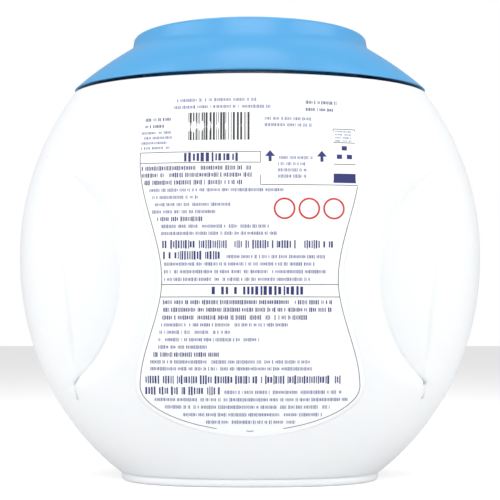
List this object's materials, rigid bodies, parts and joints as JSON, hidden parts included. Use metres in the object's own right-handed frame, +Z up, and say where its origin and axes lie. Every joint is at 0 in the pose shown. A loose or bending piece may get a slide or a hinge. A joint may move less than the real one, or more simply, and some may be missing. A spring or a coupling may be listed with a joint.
{
  "type": "laundry pod tub",
  "caption": "Upright oblong fishbowl tub with grip scoops, waisted face labels and an oblong screw-off lid on a round neck.",
  "frame": {"origin": "middle of the resting foot", "axes": "+Z up through the neck, +X along the tub's width, -Y out of the back label"},
  "size_m": [0.2478, 0.149, 0.237],
  "materials": {
    "white_plastic": "semi-matt blown polyethylene",
    "blue_plastic": "satin moulded polypropylene",
    "liner_foam": "matt foamed polyethylene",
    "label_film": "smooth printed film"
  },
  "bodies": {
    "tub": {"tub_body": "white_plastic", "back_label": "label_film", "front_label": "label_film"},
    "seal": {"lid_liner": "liner_foam"},
    "lid": {"lid": "blue_plastic"}
  },
  "joints": [
    {"name": "lid_rise", "type": "slide", "parent": "tub", "child": "seal", "axis": [0, 0, 1], "range_m": [0, 0.0241]},
    {"name": "lid_turn", "type": "hinge", "parent": "seal", "child": "lid", "pos_m": [0, 0, 0.2092], "axis": [0, 0, 1], "range_deg": [0, 90]}
  ],
  "couplings": [
    {"joint": "lid_rise", "follows": "lid_turn", "m_per_rad": 0.015279}
  ]
}
